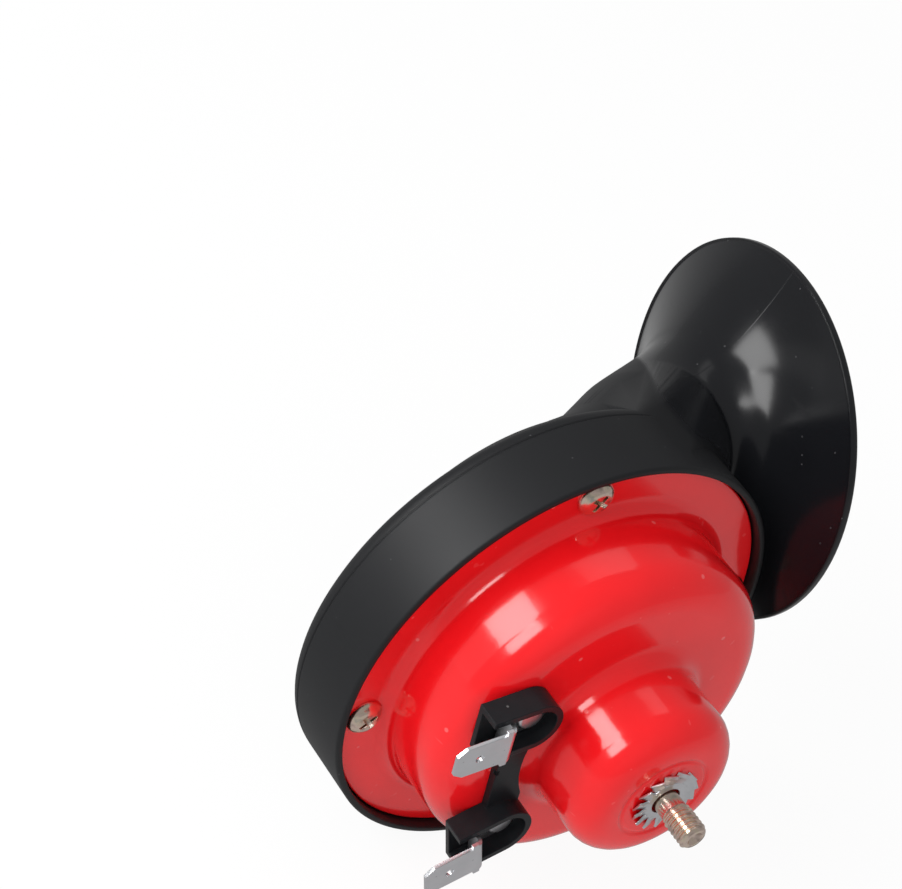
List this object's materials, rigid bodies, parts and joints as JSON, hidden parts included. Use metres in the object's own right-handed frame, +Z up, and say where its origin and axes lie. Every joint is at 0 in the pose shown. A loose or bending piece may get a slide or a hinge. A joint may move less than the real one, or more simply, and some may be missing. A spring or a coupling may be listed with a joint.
{
  "type": "electric disc horn with spiral trumpet",
  "caption": "Electric car horn: pressed steel drum with coil and contacts behind a flanged disc, and a moulded spiral trumpet that opens into a flared round bell.",
  "frame": {"origin": "centre of the mounting stud, on the outer face of its lock washer, where the bracket sits", "axes": "-Y along the stud, out of the back of the horn; +Y towards the trumpet; +Z up; +X the way the bell points"},
  "size_m": [0.1136, 0.1181, 0.1138],
  "materials": {
    "trumpet_plastic": "gloss",
    "housing_paint": "gloss",
    "zinc_yellow": "satin",
    "zinc_clear": "satin",
    "terminal_plastic": "matte",
    "bobbin_plastic": "matte",
    "winding_copper": "satin",
    "soft_iron": "satin",
    "diaphragm_steel": "satin",
    "gasket_paper": "matte",
    "insulating_board": "matte",
    "contact_metal": "satin",
    "leaf_bronze": "satin"
  },
  "bodies": {
    "root": {"trumpet_rear": "trumpet_plastic", "trumpet_front": "trumpet_plastic", "housing": "housing_paint", "flange_screws": "zinc_yellow", "core_stud": "zinc_yellow", "lock_washer": "zinc_clear", "bobbin": "bobbin_plastic", "coil": "winding_copper", "yoke_plate": "soft_iron", "armature": "soft_iron", "armature_washer": "zinc_clear", "armature_nut": "zinc_clear", "diaphragm": "diaphragm_steel", "housing_gasket": "gasket_paper", "trumpet_gasket": "gasket_paper", "terminal_insulator": "terminal_plastic", "terminal_blade_upper": "zinc_clear", "terminal_blade_lower": "zinc_clear", "terminal_rivets": "zinc_clear", "inner_insulator": "insulating_board", "contact_block": "soft_iron", "contact_leaf": "leaf_bronze", "contact_strip": "contact_metal", "contact_spacers": "insulating_board", "contact_tips": "contact_metal", "contact_rivet": "contact_metal"}
  },
  "joints": []
}
